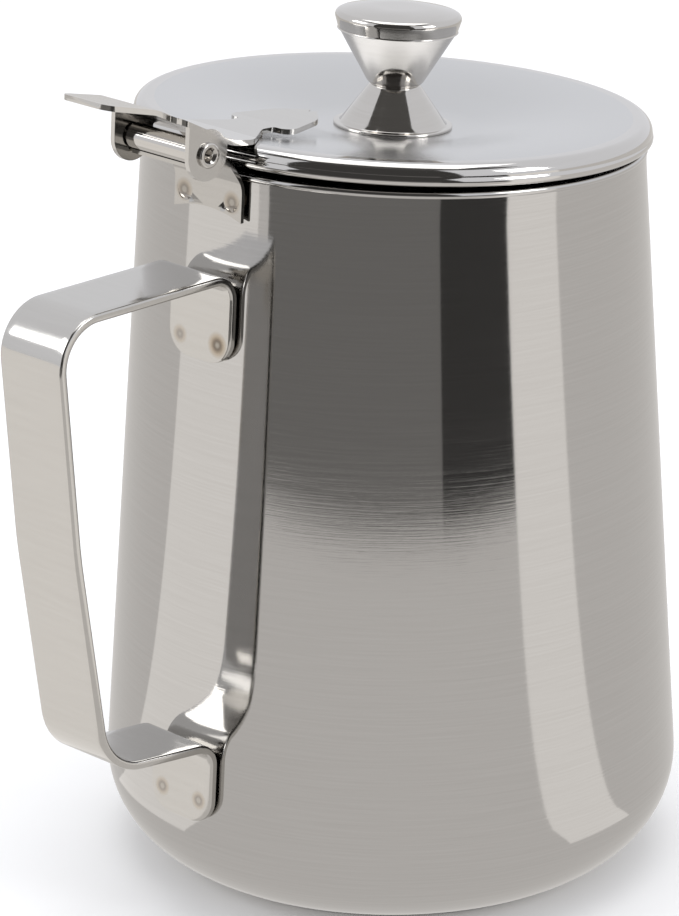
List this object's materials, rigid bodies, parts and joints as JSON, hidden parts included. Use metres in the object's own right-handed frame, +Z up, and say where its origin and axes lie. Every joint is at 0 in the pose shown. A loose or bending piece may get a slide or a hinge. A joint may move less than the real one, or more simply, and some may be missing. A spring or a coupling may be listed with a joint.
{
  "type": "milk frothing jug with hinged lid",
  "caption": "Tapered stainless steel milk frothing jug with a bent strap handle, a pouring lip and a knobbed lid that swings up on a thumb lever.",
  "frame": {"origin": "centre of the flat base underside, on the jug's axis", "axes": "+Z up along the jug's axis, -X towards the strap handle and the lid hinge, +X towards the pouring lip, +Y to the left of someone looking along +X"},
  "size_m": [0.1645, 0.124, 0.1861],
  "materials": {
    "brushed_steel": "circumferentially brushed",
    "satin_steel": "satin, brushed along the sheet",
    "polished_steel": "polished with fine turning marks",
    "weld_steel": "heat-tinted spot weld"
  },
  "bodies": {
    "jug": {"jug_body": "brushed_steel", "handle_strap": "satin_steel", "handle_upper_welds": "weld_steel", "handle_lower_welds": "weld_steel", "hinge_bracket": "satin_steel", "hinge_bracket_welds": "weld_steel", "hinge_barrel": "polished_steel"},
    "lid": {"lid_shell": "brushed_steel", "lid_hinge_strap": "satin_steel", "lid_strap_welds": "weld_steel", "hinge_pin": "polished_steel", "knob_base": "polished_steel", "knob_cup": "polished_steel", "knob_cap": "polished_steel", "knob_insert": "satin_steel", "knob_screw": "polished_steel", "knob_washer": "satin_steel"}
  },
  "joints": [
    {"name": "lid_hinge", "type": "hinge", "parent": "jug", "child": "lid", "pos_m": [-0.0644, 0, 0.1693], "axis": [0, -1, 0], "range_deg": [0, 95]}
  ]
}
